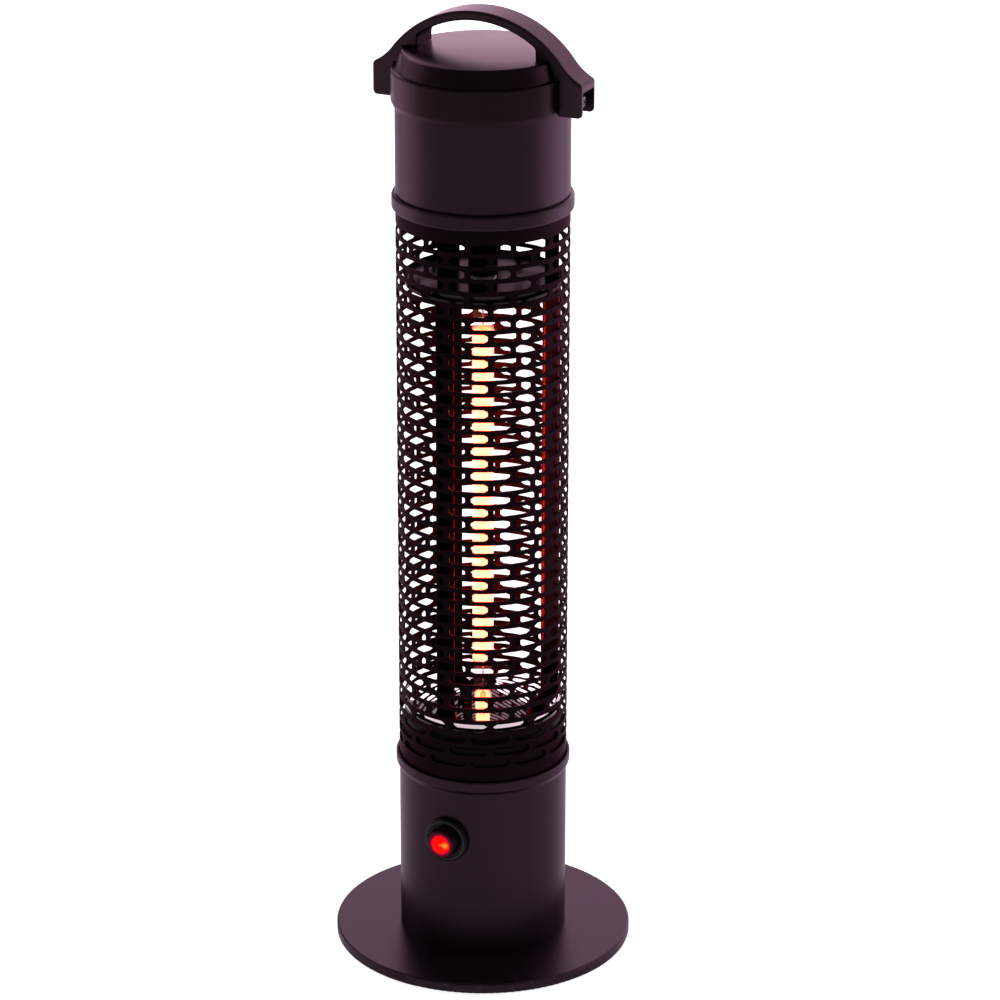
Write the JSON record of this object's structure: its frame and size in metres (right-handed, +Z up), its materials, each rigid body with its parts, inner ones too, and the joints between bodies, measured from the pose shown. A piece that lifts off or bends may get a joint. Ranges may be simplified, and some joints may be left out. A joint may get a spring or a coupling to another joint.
{
  "type": "outdoor tower heater",
  "caption": "Free-standing round tower heater: weighted disc base, housing with lit push switch, slotted guard round a glowing quartz lamp, domed cap and arched carrying handle",
  "frame": {"origin": "on the floor under the middle of the base disc", "axes": "+Z up, the switch faces -Y, the handle runs along X"},
  "size_m": [0.2, 0.2, 0.6456],
  "materials": {
    "satin_paint": "satin dark plum-black powder coat",
    "heatproof_black": "heat-proof satin black",
    "moulded_black": "fine-grained moulded plastic",
    "switch_black": "smooth black plastic",
    "lens_red": "lit translucent red",
    "gland_black": "moulded nylon",
    "rubber_black": "matt rubber",
    "zinc_steel": "zinc-plated",
    "black_screw": "glossy black plated",
    "polished_reflector": "polished",
    "grey_reflector": "dulled by heat",
    "white_ceramic": "unglazed",
    "quartz": "clear quartz",
    "hot_filament": "glowing heating element"
  },
  "bodies": {
    "heater": {"base_plate": "satin_paint", "lower_housing": "satin_paint", "upper_housing": "satin_paint", "guard": "heatproof_black", "lower_deck": "heatproof_black", "heat_shield": "heatproof_black", "support_post_1": "heatproof_black", "support_post_2": "heatproof_black", "support_post_3": "heatproof_black", "post_spacers": "heatproof_black", "lamp_holder_upper": "heatproof_black", "top_cap": "moulded_black", "handle": "moulded_black", "switch_bezel": "switch_black", "switch_body": "switch_black", "switch_nut": "switch_black", "tilt_switch": "switch_black", "cable_gland": "gland_black", "gland_nut": "gland_black", "gland_locknut": "gland_black", "base_feet": "rubber_black", "gland_seal": "rubber_black", "base_bolts": "zinc_steel", "base_nuts": "zinc_steel", "housing_floor": "zinc_steel", "post_nuts": "zinc_steel", "holder_nut": "zinc_steel", "handle_nuts": "zinc_steel", "handle_screws": "black_screw", "lower_reflector": "polished_reflector", "upper_reflector": "grey_reflector", "lamp_cap_lower": "white_ceramic", "lamp_cap_upper": "white_ceramic", "lamp_holder_lower": "white_ceramic", "terminal_block": "white_ceramic", "lamp_tube": "quartz", "lamp_filament": "hot_filament"},
    "button": {"switch_button": "switch_black", "switch_lens": "lens_red"}
  },
  "joints": [
    {"name": "switch_push", "type": "slide", "parent": "heater", "child": "button", "axis": [0, 1, 0], "range_m": [0, 0.0025], "stiffness_N_per_m": 900}
  ]
}
